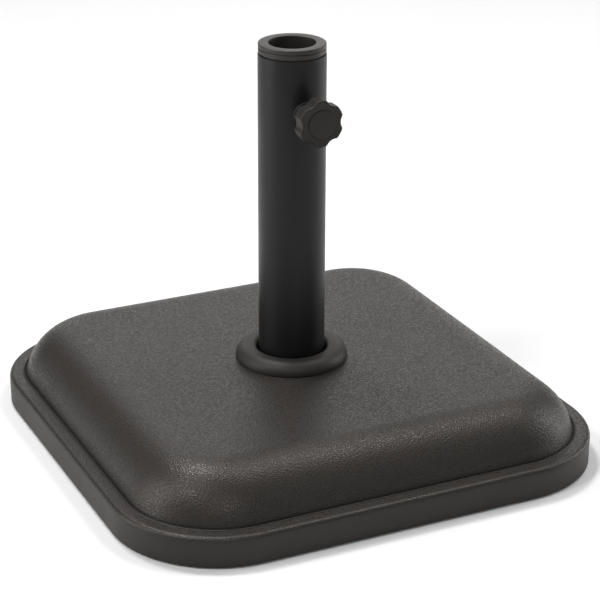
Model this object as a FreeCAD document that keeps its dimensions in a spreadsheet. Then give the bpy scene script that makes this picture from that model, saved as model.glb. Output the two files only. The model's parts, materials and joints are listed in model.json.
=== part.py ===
import FreeCAD, Part
import math
import os
import re

import Sketcher

# Parasol base: a soft square plastic shell filled with concrete, a steel tube bolted into it, a loose collar
# ring, two reducer rings for thinner poles and a clamping knob.
# Frame: millimetres, +Z up, origin on the floor under the tube's axis, the knob's screw along Y.
# The base stands on four feet at Z = 0, and the knob points to -Y.

V = FreeCAD.Vector
Z_AXIS = V(0, 0, 1)
LEVEL_TOLERANCE = 1e-4
SQUARE_SIDES = 4

doc = FreeCAD.newDocument("parasol_base")
nodes = []

# ---------------------------------------------------------------- driving dimensions

SIZES = {
    # plan and height of the base
    "base_side": 420.0,
    "rim_corner": 90.0,
    "rim_lift": 1.5,
    "ledge_level": 26.5,
    "top_level": 65.0,
    "shell_wall": 3.0,
    "rim_round": 4.0,
    # the dome on the ledge
    "dome_inset": 14.5,
    "dome_lean": 18.3,
    "dome_round_share": 0.85,
    "bead_width": 1.6,
    "bead_height": 0.7,
    "foot_groove_width": 1.4,
    "foot_groove_depth": 1.0,
    # the plate that closes the shell from below, and its screws
    "cover_level": 4.0,
    "cover_wall": 3.0,
    "cover_gap": 0.4,
    "cover_screw_radius": 2.0,
    "cover_screw_length": 12.0,
    "cover_screw_head_radius": 4.2,
    "cover_screw_head_height": 2.2,
    "screw_slot_length": 4.2,
    "screw_slot_width": 1.0,
    "screw_slot_depth": 1.2,
    "side_count": SQUARE_SIDES,
    "post_hole_spare": 1.5,
    "screw_post_radius": 4.5,
    "screw_post_inset": 11.0,
    "screw_post_offset": 70.0,
    "screw_hole_gap": 0.25,
    # rubber feet
    "pad_radius": 17.0,
    "pad_stem_radius": 4.0,
    "pad_round": 1.2,
    "pad_offset": 140.0,
    # steel tube
    "tube_radius": 28.0,
    "tube_wall": 1.5,
    "tube_foot_level": 26.0,
    "tube_top_level": 331.6,
    # socket in the concrete
    "socket_gap": 0.3,
    "socket_wall": 2.0,
    "socket_floor": 3.0,
    "shell_hole_gap": 0.6,
    # the bolt from below
    "bolt_radius": 6.0,
    "bolt_hole_gap": 0.75,
    "thread_gap": 0.05,
    "bolt_across_flats": 18.0,
    "bolt_head_height": 7.5,
    "bolt_length": 35.0,
    "foot_plate_thick": 6.0,
    "foot_nut_height": 10.0,
    "washer_radius": 24.0,
    "washer_thick": 3.0,
    "spring_washer_radius": 10.5,
    "spring_washer_thick": 2.8,
    "spring_washer_split": 1.6,
    "recess_radius": 27.0,
    "web_thick": 10.0,
    # collar ring
    "collar_width": 18.3,
    "collar_height": 10.7,
    "collar_gap": 1.3,
    "collar_wall": 2.2,
    "collar_outer_round": 9.6,
    "collar_inner_round": 4.4,
    "collar_seat_gap": 0.3,
    # reducer rings
    "pole_bore_radius": 19.25,
    "large_pole_bore_radius": 24.15,
    "flange_inset": 0.3,
    "reducer_flange_thick": 3.5,
    "reducer_edge_round": 0.5,
    "reducer_slide_gap": 0.3,
    "flange_gap": 0.3,
    "flange_shoulder_height": 1.2,
    "flange_shoulder_inset": 1.2,
    "reducer_skirt": 33.0,
    "reducer_sleeve_wall": 2.2,
    "reducer_rib_thick": 2.0,
    "reducer_rib_count": 8,
    # clamping knob
    "knob_drop": 53.0,
    "screw_radius": 4.0,
    "screw_fit": 0.05,
    "boss_radius": 10.0,
    "boss_height": 6.7,
    "boss_edge_round": 0.8,
    "pad_hole_gap": 0.5,
    "tip_pad_radius": 6.0,
    "tip_pad_inset": 0.5,
    "tip_pad_thick": 2.5,
    "tip_pad_round": 0.4,
    "dog_radius": 2.5,
    "dog_depth": 1.4,
    "dog_end_gap": 0.1,
    "screw_shoulder_gap": 0.3,
    "knob_travel_gap": 8.3,
    "knob_thick": 13.1,
    "knob_radius": 19.3,
    "knob_notch_radius": 8.2,
    "knob_notch_depth": 2.4,
    "knob_lobes": 6,
    "knob_lobe_round": 2.4,
    "knob_edge_round": 1.4,
    "screw_head_flats": 13.0,
    "screw_head_height": 5.3,
    "cap_radius": 11.6,
    "cap_thick": 2.0,
    "cap_proud": 0.5,
    "cap_round": 0.4,
}

sheet = doc.addObject("Spreadsheet::Sheet", "Sizes")
for row, (alias, value) in enumerate(SIZES.items(), start=1):
    sheet.set(f"A{row}", alias)
    sheet.set(f"B{row}", str(value))
    sheet.setAlias(f"B{row}", alias)
doc.recompute()


def cells(expression):
    """An expression of bare aliases, as the document's objects read it from the sheet."""

    def cell(word):
        return f"Sizes.{word[0]}" if word[0] in SIZES else word[0]

    return re.sub(r"[a-z][a-z_]*", cell, expression)


def value_of(expression):
    """The number that an expression of aliases gives."""
    return float(sheet.evalExpression(expression))


# ---------------------------------------------------------------- levels and radii that follow

COVER_TOP = "(cover_level + cover_wall)"
INNER_LEDGE = "(ledge_level - shell_wall)"
INNER_TOP = "(top_level - shell_wall)"
INNER_EDGE_ROUND = "(rim_round - shell_wall)"
DOME_ROUND = "(dome_round_share * (top_level - ledge_level) / cos(dome_lean) / tan((90 - dome_lean) / 2))"
INNER_DOME_ROUND = f"({DOME_ROUND} - shell_wall)"
INNER_DOME_INSET = "(dome_inset + shell_wall * tan((90 - dome_lean) / 2))"
POST_HOLE_TOP = "(cover_level + cover_screw_length + post_hole_spare)"
RECESS_TOP = "(tube_foot_level - web_thick)"
SOCKET_UNDERSIDE = "(tube_foot_level - socket_floor)"
SOCKET_TOP = INNER_TOP
SOCKET_BORE = "(tube_radius + socket_gap)"
SOCKET_OUTSIDE = "(tube_radius + socket_gap + socket_wall)"
BOLT_HOLE = "(bolt_radius + bolt_hole_gap)"
TUBE_BORE = "(tube_radius - tube_wall)"
FOOT_PLATE_TOP = "(tube_foot_level + foot_plate_thick)"
WASHER_UNDERSIDE = f"({RECESS_TOP} - washer_thick)"
BOLT_SEAT = f"({RECESS_TOP} - washer_thick - spring_washer_thick)"
COLLAR_FOOT = "(top_level + collar_seat_gap)"
COLLAR_BORE = "(tube_radius + collar_gap)"
COLLAR_RADIUS = f"({COLLAR_BORE} + collar_width)"
SKIRT_END = "(tube_top_level - reducer_skirt)"
OUTER_SEAT = "(tube_top_level + flange_gap)"
OUTER_FLANGE_FOOT = f"({OUTER_SEAT} + flange_shoulder_height)"
OUTER_FLANGE_TOP = f"({OUTER_FLANGE_FOOT} + reducer_flange_thick)"
INNER_FLANGE_FOOT = f"({OUTER_FLANGE_TOP} + flange_gap)"
TOTAL_HEIGHT = f"({INNER_FLANGE_FOOT} + reducer_flange_thick)"
FLANGE_RADIUS = "(tube_radius - flange_inset)"
SHOULDER_RADIUS = "(tube_radius - flange_shoulder_inset)"
OUTER_SKIRT_RADIUS = "(tube_radius - tube_wall - reducer_slide_gap)"
INNER_SLEEVE_RADIUS = "(pole_bore_radius + reducer_sleeve_wall)"
INNER_RIB_RADIUS = "(large_pole_bore_radius - reducer_slide_gap)"
SCREW_LEVEL = f"({TOTAL_HEIGHT} - knob_drop)"
BOSS_FACE = "(tube_radius + boss_height)"
KNOB_BACK = f"({BOSS_FACE} + knob_travel_gap)"
KNOB_FRONT = f"({KNOB_BACK} + knob_thick)"
TIP_PAD_BACK = f"({TUBE_BORE} + tip_pad_inset)"
TIP_PAD_FRONT = f"({TIP_PAD_BACK} - tip_pad_thick)"
SCREW_SHOULDER = f"({TIP_PAD_BACK} + screw_shoulder_gap)"
DOG_END = f"({TIP_PAD_BACK} - dog_depth + dog_end_gap)"
CAP_BACK = f"({KNOB_FRONT} + cap_proud - cap_thick)"
SCREW_HEAD_BACK = f"({CAP_BACK} - screw_head_height)"


# ---------------------------------------------------------------- helpers


def origin_plane(body, role):
    """One of a body's own origin planes."""
    return next(feature for feature in body.Origin.OriginFeatures if feature.Role == role)


def new_body(label, x="0", y="0", z="0"):
    """A body with its label and its place."""
    body = doc.addObject("PartDesign::Body", label)
    body.Label = label
    for axis, place in (("x", x), ("y", y), ("z", z)):
        body.setExpression(f"Placement.Base.{axis}", cells(place))
    return body


def new_sketch(body, name, role="XY_Plane", level="0"):
    """A sketch on an origin plane of its body, moved along the plane's normal to a level."""
    sketch = body.newObject("Sketcher::SketchObject", name)
    sketch.AttachmentSupport = [(origin_plane(body, role), "")]
    sketch.MapMode = "FlatFace"
    sketch.setExpression("AttachmentOffset.Base.z", cells(level))
    return sketch


def tie(sketch, expression, kind, *where):
    """A sketch dimension whose value follows the sheet."""
    row = sketch.addConstraint(Sketcher.Constraint(kind, *where, value_of(expression)))
    sketch.setExpression(f"Constraints[{row}]", cells(expression))


def tie_point(sketch, geometry, point, x, y):
    """Ties both coordinates of a point of a sketch, measured from its origin."""
    tie(sketch, x, "DistanceX", -1, 1, geometry, point)
    tie(sketch, y, "DistanceY", -1, 1, geometry, point)


def add_circle(sketch, radius, x="0", y="0"):
    centre = V(value_of(x), value_of(y), 0)
    circle = sketch.addGeometry(Part.Circle(centre, Z_AXIS, value_of(radius)), False)
    tie_point(sketch, circle, 3, x, y)
    tie(sketch, radius, "Radius", circle)


def add_polygon(sketch, points):
    """A closed outline of straight lines. Each point is a pair of expressions."""
    places = [V(value_of(x), value_of(y), 0) for x, y in points]
    count = len(points)
    lines = [
        sketch.addGeometry(Part.LineSegment(places[index], places[(index + 1) % count]), False)
        for index in range(count)
    ]
    for index in range(count):
        following = lines[(index + 1) % count]
        sketch.addConstraint(Sketcher.Constraint("Coincident", lines[index], 2, following, 1))
    for line, (x, y) in zip(lines, points):
        tie_point(sketch, line, 1, x, y)


def add_hexagon(sketch, flats):
    """A hexagon about the origin, two of its sides along the sketch's X axis."""
    corner = f"({flats}) / sqrt(3)"
    flat = f"({flats}) / 2"
    add_polygon(
        sketch,
        [
            (corner, "0"),
            (f"{corner} / 2", flat),
            (f"-{corner} / 2", flat),
            (f"-{corner}", "0"),
            (f"-{corner} / 2", f"-{flat}"),
            (f"{corner} / 2", f"-{flat}"),
        ],
    )


def add_soft_square(sketch, inset):
    """The base's outline moved inwards: a square about the origin with round corners."""
    half = f"(base_side / 2 - {inset})"
    bend = f"(rim_corner - {inset})"
    side = value_of(half)
    radius = value_of(bend)
    flat = side - radius
    ends = (
        ((-flat, -side), (flat, -side)),
        ((side, -flat), (side, flat)),
        ((flat, side), (-flat, side)),
        ((-side, flat), (-side, -flat)),
    )
    lines = [
        sketch.addGeometry(Part.LineSegment(V(*start, 0), V(*end, 0)), False)
        for start, end in ends
    ]
    arcs = []
    for quarter, centre in enumerate(((flat, -flat), (flat, flat), (-flat, flat), (-flat, -flat))):
        start = math.pi / 2 * (quarter - 1)
        circle = Part.Circle(V(*centre, 0), Z_AXIS, radius)
        arcs.append(sketch.addGeometry(Part.ArcOfCircle(circle, start, start + math.pi / 2), False))
    for quarter in range(SQUARE_SIDES):
        following = lines[(quarter + 1) % SQUARE_SIDES]
        sketch.addConstraint(Sketcher.Constraint("Tangent", lines[quarter], 2, arcs[quarter], 1))
        sketch.addConstraint(Sketcher.Constraint("Tangent", arcs[quarter], 2, following, 1))
    for line in (lines[0], lines[2]):
        sketch.addConstraint(Sketcher.Constraint("Horizontal", line))
    for line in (lines[1], lines[3]):
        sketch.addConstraint(Sketcher.Constraint("Vertical", line))
    for arc in arcs[1:]:
        sketch.addConstraint(Sketcher.Constraint("Equal", arcs[0], arc))
    tie(sketch, f"-{half}", "DistanceY", -1, 1, lines[0], 1)
    tie(sketch, half, "DistanceX", -1, 1, lines[1], 1)
    tie(sketch, half, "DistanceY", -1, 1, lines[2], 1)
    tie(sketch, f"-{half}", "DistanceX", -1, 1, lines[3], 1)
    tie(sketch, bend, "Radius", arcs[0])


def extrude(body, kind, name, sketch, length, along_normal=True, lean=None):
    """A Pad or a Pocket of a sketch. Pads add along the sketch's normal unless told otherwise."""
    feature = body.newObject(f"PartDesign::{kind}", name)
    feature.Profile = sketch
    feature.Reversed = not along_normal if kind == "Pad" else along_normal
    feature.setExpression("Length", cells(length))
    if lean:
        feature.setExpression("TaperAngle", cells(lean))
    doc.recompute()
    return feature


def disc(body, name, radius, low, high, role="XY_Plane", kind="Pad"):
    """A round Pad or Pocket about the body's axis between two levels along the plane's normal."""
    sketch = new_sketch(body, f"{name}_circle", role, low)
    add_circle(sketch, radius)
    return extrude(body, kind, name, sketch, f"({high}) - ({low})")


def hexagon(body, name, flats, low, high, role="XY_Plane", kind="Pad"):
    sketch = new_sketch(body, f"{name}_hexagon", role, low)
    add_hexagon(sketch, flats)
    return extrude(body, kind, name, sketch, f"({high}) - ({low})")


def soft_block(body, name, inset, low, high, lean=None):
    """A Pad of the base's outline moved inwards, between two levels."""
    sketch = new_sketch(body, f"{name}_outline", "XY_Plane", low)
    add_soft_square(sketch, inset)
    return extrude(body, "Pad", name, sketch, f"({high}) - ({low})", lean=lean)


def soft_ring(body, name, outer_inset, inner_inset, low, high, kind):
    """A band that follows the base's outline, added or cut between two levels."""
    sketch = new_sketch(body, f"{name}_outline", "XY_Plane", low)
    add_soft_square(sketch, outer_inset)
    add_soft_square(sketch, inner_inset)
    return extrude(body, kind, name, sketch, f"({high}) - ({low})")


def turned(label, points, x="0", y="0", z="0"):
    """A body turned about Z from a closed outline of (radius, level) points."""
    body = new_body(label, x, y, z)
    sketch = new_sketch(body, f"{label}_outline", "XZ_Plane")
    add_polygon(sketch, points)
    feature = body.newObject("PartDesign::Revolution", f"{label}_turn")
    feature.Profile = sketch
    feature.ReferenceAxis = (sketch, ["V_Axis"])
    feature.Angle = 360
    doc.recompute()
    return body


def ring(label, bore, outside, low, high):
    return turned(label, [(bore, low), (outside, low), (outside, high), (bore, high)])


def repeat_round(body, name, features, sketch, count):
    """Copies of features round the normal axis of a sketch."""
    pattern = body.newObject("PartDesign::PolarPattern", name)
    pattern.Originals = features
    pattern.Axis = (sketch, ["N_Axis"])
    pattern.Angle = 360
    pattern.setExpression("Occurrences", cells(count))
    body.Tip = pattern
    doc.recompute()
    return pattern


def round_edges(body, name, radius, test):
    """A Fillet on the edges of the body's last feature for which the test holds."""
    last = body.Tip
    edges = [f"Edge{number}" for number, edge in enumerate(last.Shape.Edges, start=1) if test(edge)]
    fillet = body.newObject("PartDesign::Fillet", name)
    fillet.Base = (last, edges)
    fillet.setExpression("Radius", cells(radius))
    doc.recompute()


def lies_at(edge, axis, place):
    """Whether an edge lies in the plane at a place along an axis, in its body's own frame."""
    box = edge.BoundBox
    low, high = (getattr(box, f"{axis}{end}") for end in ("Min", "Max"))
    return abs(low - place) < LEVEL_TOLERANCE and abs(high - place) < LEVEL_TOLERANCE


def reach(edge):
    """The largest distance of an edge's ends and middle from the Z axis."""
    first, last = edge.ParameterRange
    points = [edge.valueAt(first), edge.valueAt((first + last) / 2), edge.valueAt(last)]
    return max(math.hypot(point.x, point.y) for point in points)


def combine(kind, label, base, tools):
    """A Part::Cut or Part::Fuse of one object with the union of others."""
    tool = tools[0]
    if len(tools) > 1:
        tool = doc.addObject("Part::MultiFuse", f"{label}_tools")
        tool.Shapes = tools
    result = doc.addObject(f"Part::{kind}", label)
    result.Base = base
    result.Tool = tool
    result.Label = label
    doc.recompute()
    return result


def rod(name, radius, low, high):
    """A plain cylinder about Z, used as a tool."""
    cylinder = doc.addObject("Part::Cylinder", name)
    cylinder.setExpression("Radius", cells(radius))
    cylinder.setExpression("Height", cells(f"({high}) - ({low})"))
    cylinder.setExpression("Placement.Base.z", cells(low))
    return cylinder


def eight_rods(name, radius, low, high):
    """Rods at the eight places of the cover's screws: two on each side of the base."""
    body = new_body(name)
    sketch = new_sketch(body, f"{name}_circles", "XY_Plane", low)
    for x in ("screw_post_offset", "-screw_post_offset"):
        add_circle(sketch, radius, x, "-(base_side / 2 - screw_post_inset)")
    pad = extrude(body, "Pad", f"{name}_pad", sketch, f"({high}) - ({low})")
    repeat_round(body, f"{name}_sides", [pad], sketch, "side_count")
    return body


def keep(part):
    """Marks an object as one piece of the finished assembly."""
    nodes.append(part)
    return part


# ---------------------------------------------------------------- base: shell, ballast, cover and feet


def domed_form(label, inset, foot, ledge, top, dome_inset, edge_round, dome_round):
    """A soft square block with a leaning, widely rounded dome on its ledge."""
    body = new_body(label)
    soft_block(body, f"{label}_rim", inset, foot, ledge)
    soft_block(body, f"{label}_dome", dome_inset, ledge, top, lean="-dome_lean")
    top_level = value_of(top)
    round_edges(body, f"{label}_dome_round", dome_round, lambda edge: lies_at(edge, "Z", top_level))
    ledge_level = value_of(ledge)
    outermost = value_of("base_side / 2") - value_of(inset)
    round_edges(
        body,
        f"{label}_rim_round",
        edge_round,
        lambda edge: lies_at(edge, "Z", ledge_level) and is_outline(edge, outermost, value_of(inset)),
    )
    return body


def is_outline(edge, half, inset):
    """Whether an edge belongs to the soft square of this half side."""
    corner = value_of("rim_corner") - inset
    reach_of_corner = (half - corner) * math.sqrt(2) + corner
    first, last = edge.ParameterRange
    middle = edge.valueAt((first + last) / 2)
    on_side = abs(max(abs(middle.x), abs(middle.y)) - half) < LEVEL_TOLERANCE
    on_corner = abs(math.hypot(middle.x, middle.y) - reach_of_corner) < LEVEL_TOLERANCE
    return on_side or on_corner


def make_base_shell():
    form = domed_form(
        "shell_form", "0", "rim_lift", "ledge_level", "top_level", "dome_inset", "rim_round", DOME_ROUND
    )
    groove_outside = "(dome_inset - foot_groove_width)"
    soft_ring(
        form,
        "foot_groove",
        groove_outside,
        "dome_inset",
        "ledge_level - foot_groove_depth",
        "ledge_level + bead_height",
        "Pocket",
    )
    soft_ring(
        form,
        "foot_bead",
        f"({groove_outside} - bead_width)",
        groove_outside,
        "ledge_level - foot_groove_depth",
        "ledge_level + bead_height",
        "Pad",
    )
    cavity = domed_form(
        "shell_cavity",
        "shell_wall",
        "rim_lift",
        INNER_LEDGE,
        INNER_TOP,
        INNER_DOME_INSET,
        INNER_EDGE_ROUND,
        INNER_DOME_ROUND,
    )
    hollow = combine("Cut", "hollow_shell", form, [cavity])
    posts = eight_rods("screw_posts", "screw_post_radius", COVER_TOP, f"{INNER_LEDGE} + shell_wall / 2")
    with_posts = combine("Fuse", "shell_with_posts", hollow, [posts])
    pilot_holes = eight_rods("pilot_holes", "cover_screw_radius", COVER_TOP, POST_HOLE_TOP)
    tube_hole = rod("shell_tube_hole", "tube_radius + shell_hole_gap", INNER_TOP, "top_level")
    return combine("Cut", "base_shell", with_posts, [pilot_holes, tube_hole])


def make_concrete_fill():
    form = domed_form(
        "concrete_form",
        "shell_wall",
        COVER_TOP,
        INNER_LEDGE,
        INNER_TOP,
        INNER_DOME_INSET,
        INNER_EDGE_ROUND,
        INNER_DOME_ROUND,
    )
    tools = [
        eight_rods("post_spaces", "screw_post_radius", COVER_TOP, INNER_LEDGE),
        rod("socket_space", SOCKET_OUTSIDE, SOCKET_UNDERSIDE, SOCKET_TOP),
        rod("bolt_space", BOLT_HOLE, RECESS_TOP, SOCKET_UNDERSIDE),
        rod("washer_recess", "recess_radius", COVER_TOP, RECESS_TOP),
    ]
    return combine("Cut", "concrete_fill", form, tools)


def make_bottom_cover():
    cover = new_body("bottom_cover")
    soft_block(cover, "cover_plate", "(shell_wall + cover_gap)", "cover_level", COVER_TOP)
    disc(cover, "cover_recess_hole", "recess_radius", "cover_level", COVER_TOP, kind="Pocket")
    sketch = new_sketch(cover, "cover_stem_holes_circle", "XY_Plane", "cover_level")
    for x in ("pad_offset", "-pad_offset"):
        for y in ("pad_offset", "-pad_offset"):
            add_circle(sketch, "pad_stem_radius", x, y)
    extrude(cover, "Pocket", "cover_stem_holes", sketch, "cover_wall")
    sketch = new_sketch(cover, "cover_screw_holes_circle", "XY_Plane", "cover_level")
    for x in ("screw_post_offset", "-screw_post_offset"):
        add_circle(sketch, "cover_screw_radius + screw_hole_gap", x, "-(base_side / 2 - screw_post_inset)")
    holes = extrude(cover, "Pocket", "cover_screw_holes", sketch, "cover_wall")
    repeat_round(cover, "cover_screw_holes_sides", [holes], sketch, "side_count")
    return cover


def make_cover_screws():
    screws = new_body("cover_screws")
    head_foot = "(cover_level - cover_screw_head_height)"
    features = []
    for name, radius, low, high in (
        ("shanks", "cover_screw_radius", "cover_level", "cover_level + cover_screw_length"),
        ("heads", "cover_screw_head_radius", head_foot, "cover_level"),
    ):
        sketch = new_sketch(screws, f"cover_screw_{name}_circles", "XY_Plane", low)
        for x in ("screw_post_offset", "-screw_post_offset"):
            add_circle(sketch, radius, x, "-(base_side / 2 - screw_post_inset)")
        features.append(extrude(screws, "Pad", f"cover_screw_{name}", sketch, f"({high}) - ({low})"))
    slots = new_sketch(screws, "cover_screw_slots_outline", "XY_Plane", head_foot)
    for x in ("screw_post_offset", "-screw_post_offset"):
        add_cross(slots, "screw_slot_length", "screw_slot_width", x, "-(base_side / 2 - screw_post_inset)")
    features.append(extrude(screws, "Pocket", "cover_screw_slots", slots, "screw_slot_depth"))
    repeat_round(screws, "cover_screw_sides", features, sketch, "side_count")
    return screws


def add_cross(sketch, length, width, x, y):
    """A plus sign about a point, the recess of a cross-head screw."""
    far = f"({length}) / 2"
    near = f"({width}) / 2"
    corners = [
        (far, f"-{near}"),
        (far, near),
        (near, near),
        (near, far),
        (f"-{near}", far),
        (f"-{near}", near),
        (f"-{far}", near),
        (f"-{far}", f"-{near}"),
        (f"-{near}", f"-{near}"),
        (f"-{near}", f"-{far}"),
        (near, f"-{far}"),
        (near, f"-{near}"),
    ]
    add_polygon(sketch, [(f"{x} + {along}", f"{y} + {across}") for along, across in corners])


def make_foot_pad(side, end, x_sign, y_sign):
    pad = turned(
        f"foot_pad_{end}_{side}",
        [
            ("0", "0"),
            ("pad_radius", "0"),
            ("pad_radius", "cover_level"),
            ("pad_stem_radius", "cover_level"),
            ("pad_stem_radius", COVER_TOP),
            ("0", COVER_TOP),
        ],
        x=f"{x_sign}pad_offset",
        y=f"{y_sign}pad_offset",
    )
    round_edges(pad, f"{pad.Label}_round", "pad_round", lambda edge: lies_at(edge, "Z", 0))
    return pad


keep(make_base_shell())
keep(make_concrete_fill())
keep(make_bottom_cover())
keep(make_cover_screws())
for end, y_sign in (("front", "-"), ("back", "")):
    for side, x_sign in (("left", "-"), ("right", "")):
        keep(make_foot_pad(side, end, x_sign, y_sign))


# ---------------------------------------------------------------- tube and what holds it


def make_pole_tube():
    tube = ring("pole_tube", TUBE_BORE, "tube_radius", "tube_foot_level", "tube_top_level")
    sketch = new_sketch(tube, "tip_pad_hole_circle", "XZ_Plane")
    add_circle(sketch, "tip_pad_radius + pad_hole_gap", "0", SCREW_LEVEL)
    extrude(tube, "Pocket", "tip_pad_hole", sketch, "2 * tube_radius")
    return tube


def make_tube_socket():
    return turned(
        "tube_socket",
        [
            (BOLT_HOLE, SOCKET_UNDERSIDE),
            (SOCKET_OUTSIDE, SOCKET_UNDERSIDE),
            (SOCKET_OUTSIDE, SOCKET_TOP),
            (SOCKET_BORE, SOCKET_TOP),
            (SOCKET_BORE, "tube_foot_level"),
            (BOLT_HOLE, "tube_foot_level"),
        ],
    )


def make_foot_nut():
    nut = new_body("tube_foot_nut")
    top = f"{FOOT_PLATE_TOP} + foot_nut_height"
    hexagon(nut, "foot_nut_block", "bolt_across_flats", FOOT_PLATE_TOP, top)
    disc(nut, "foot_nut_bore", "bolt_radius + thread_gap", FOOT_PLATE_TOP, top, kind="Pocket")
    return nut


def make_fixing_bolt():
    bolt = new_body("fixing_bolt")
    hexagon(bolt, "bolt_head", "bolt_across_flats", f"{BOLT_SEAT} - bolt_head_height", BOLT_SEAT)
    disc(bolt, "bolt_shank", "bolt_radius", BOLT_SEAT, f"{BOLT_SEAT} + bolt_length")
    return bolt


def make_spring_washer():
    washer = ring("spring_washer", BOLT_HOLE, "spring_washer_radius", BOLT_SEAT, WASHER_UNDERSIDE)
    sketch = new_sketch(washer, "spring_washer_split_outline", "XY_Plane", BOLT_SEAT)
    half = "spring_washer_split / 2"
    corners = (("0", f"-{half}"), ("2 * spring_washer_radius", f"-{half}"))
    add_polygon(sketch, [*corners, ("2 * spring_washer_radius", half), ("0", half)])
    extrude(washer, "Pocket", "spring_washer_split", sketch, "spring_washer_thick")
    return washer


keep(make_pole_tube())
keep(make_tube_socket())
keep(ring("tube_foot_plate", BOLT_HOLE, TUBE_BORE, "tube_foot_level", FOOT_PLATE_TOP))
keep(make_foot_nut())
keep(make_fixing_bolt())
keep(ring("fixing_washer", BOLT_HOLE, "washer_radius", WASHER_UNDERSIDE, RECESS_TOP))
keep(make_spring_washer())


# ---------------------------------------------------------------- collar ring


def make_collar_ring():
    """A loose ring, round over its crest and hollow from below."""
    top = f"({COLLAR_FOOT} + collar_height)"
    roof = f"({top} - collar_wall)"
    collar = ring("collar_ring", COLLAR_BORE, COLLAR_RADIUS, COLLAR_FOOT, top)
    sketch = new_sketch(collar, "collar_hollow_circles", "XY_Plane", COLLAR_FOOT)
    add_circle(sketch, f"{COLLAR_BORE} + collar_wall")
    add_circle(sketch, f"{COLLAR_RADIUS} - collar_wall")
    extrude(collar, "Pocket", "collar_hollow", sketch, f"{roof} - {COLLAR_FOOT}")
    middle = value_of(f"({COLLAR_BORE} + {COLLAR_RADIUS}) / 2")
    rounds = {"outer": "collar_outer_round", "inner": "collar_inner_round"}
    for name, level, less in (("roof", roof, " - collar_wall"), ("crest", top, "")):
        place = value_of(level)
        for side, radius in rounds.items():
            outer = side == "outer"
            round_edges(
                collar,
                f"collar_{name}_{side}_fillet",
                f"{radius}{less}",
                lambda edge: lies_at(edge, "Z", place) and (reach(edge) > middle) == outer,
            )
    return collar


keep(make_collar_ring())


# ---------------------------------------------------------------- reducer rings


def round_flange(body, name, foot, top):
    """Rounds the outer edges of a flange and the rim of the bore in its top face."""
    low, high = value_of(foot), value_of(top)
    overhang = value_of(f"({SHOULDER_RADIUS} + {FLANGE_RADIUS}) / 2")
    round_edges(
        body,
        name,
        "reducer_edge_round",
        lambda edge: lies_at(edge, "Z", high) or (lies_at(edge, "Z", low) and reach(edge) > overhang),
    )


def make_outer_reducer():
    reducer = turned(
        "outer_reducer",
        [
            ("large_pole_bore_radius", SKIRT_END),
            (OUTER_SKIRT_RADIUS, SKIRT_END),
            (OUTER_SKIRT_RADIUS, OUTER_SEAT),
            (SHOULDER_RADIUS, OUTER_SEAT),
            (SHOULDER_RADIUS, OUTER_FLANGE_FOOT),
            (FLANGE_RADIUS, OUTER_FLANGE_FOOT),
            (FLANGE_RADIUS, OUTER_FLANGE_TOP),
            ("large_pole_bore_radius", OUTER_FLANGE_TOP),
        ],
    )
    round_flange(reducer, "outer_reducer_fillet", OUTER_FLANGE_FOOT, OUTER_FLANGE_TOP)
    return reducer


def make_inner_reducer():
    reducer = turned(
        "inner_reducer",
        [
            ("pole_bore_radius", SKIRT_END),
            (INNER_SLEEVE_RADIUS, SKIRT_END),
            (INNER_SLEEVE_RADIUS, INNER_FLANGE_FOOT),
            (FLANGE_RADIUS, INNER_FLANGE_FOOT),
            (FLANGE_RADIUS, TOTAL_HEIGHT),
            ("pole_bore_radius", TOTAL_HEIGHT),
        ],
    )
    round_flange(reducer, "inner_reducer_fillet", INNER_FLANGE_FOOT, TOTAL_HEIGHT)
    sketch = new_sketch(reducer, "inner_reducer_rib_outline", "XY_Plane", SKIRT_END)
    root = "pole_bore_radius + reducer_sleeve_wall / 2"
    half = "reducer_rib_thick / 2"
    add_polygon(
        sketch, [(root, f"-{half}"), (INNER_RIB_RADIUS, f"-{half}"), (INNER_RIB_RADIUS, half), (root, half)]
    )
    rib = extrude(reducer, "Pad", "inner_reducer_rib", sketch, f"{INNER_FLANGE_FOOT} - {SKIRT_END}")
    repeat_round(reducer, "inner_reducer_ribs", [rib], sketch, "reducer_rib_count")
    return reducer


keep(make_outer_reducer())
keep(make_inner_reducer())


# ---------------------------------------------------------------- knob, screw, boss and tip pad
# Each body is built about the Y axis and lifted to the screw's level.
# Distances run from the tube's axis to -Y.


def make_knob_boss():
    boss = new_body("knob_boss", z=SCREW_LEVEL)
    disc(boss, "boss_block", "boss_radius", "tube_radius / 2", BOSS_FACE, "XZ_Plane")
    face = -value_of(BOSS_FACE)
    round_edges(boss, "boss_round", "boss_edge_round", lambda edge: lies_at(edge, "Y", face))
    disc(boss, "boss_saddle", "tube_radius", "-2 * boss_radius", "2 * boss_radius", kind="Pocket")
    disc(boss, "boss_thread", "screw_radius + screw_fit", "0", BOSS_FACE, "XZ_Plane", kind="Pocket")
    return boss


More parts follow.
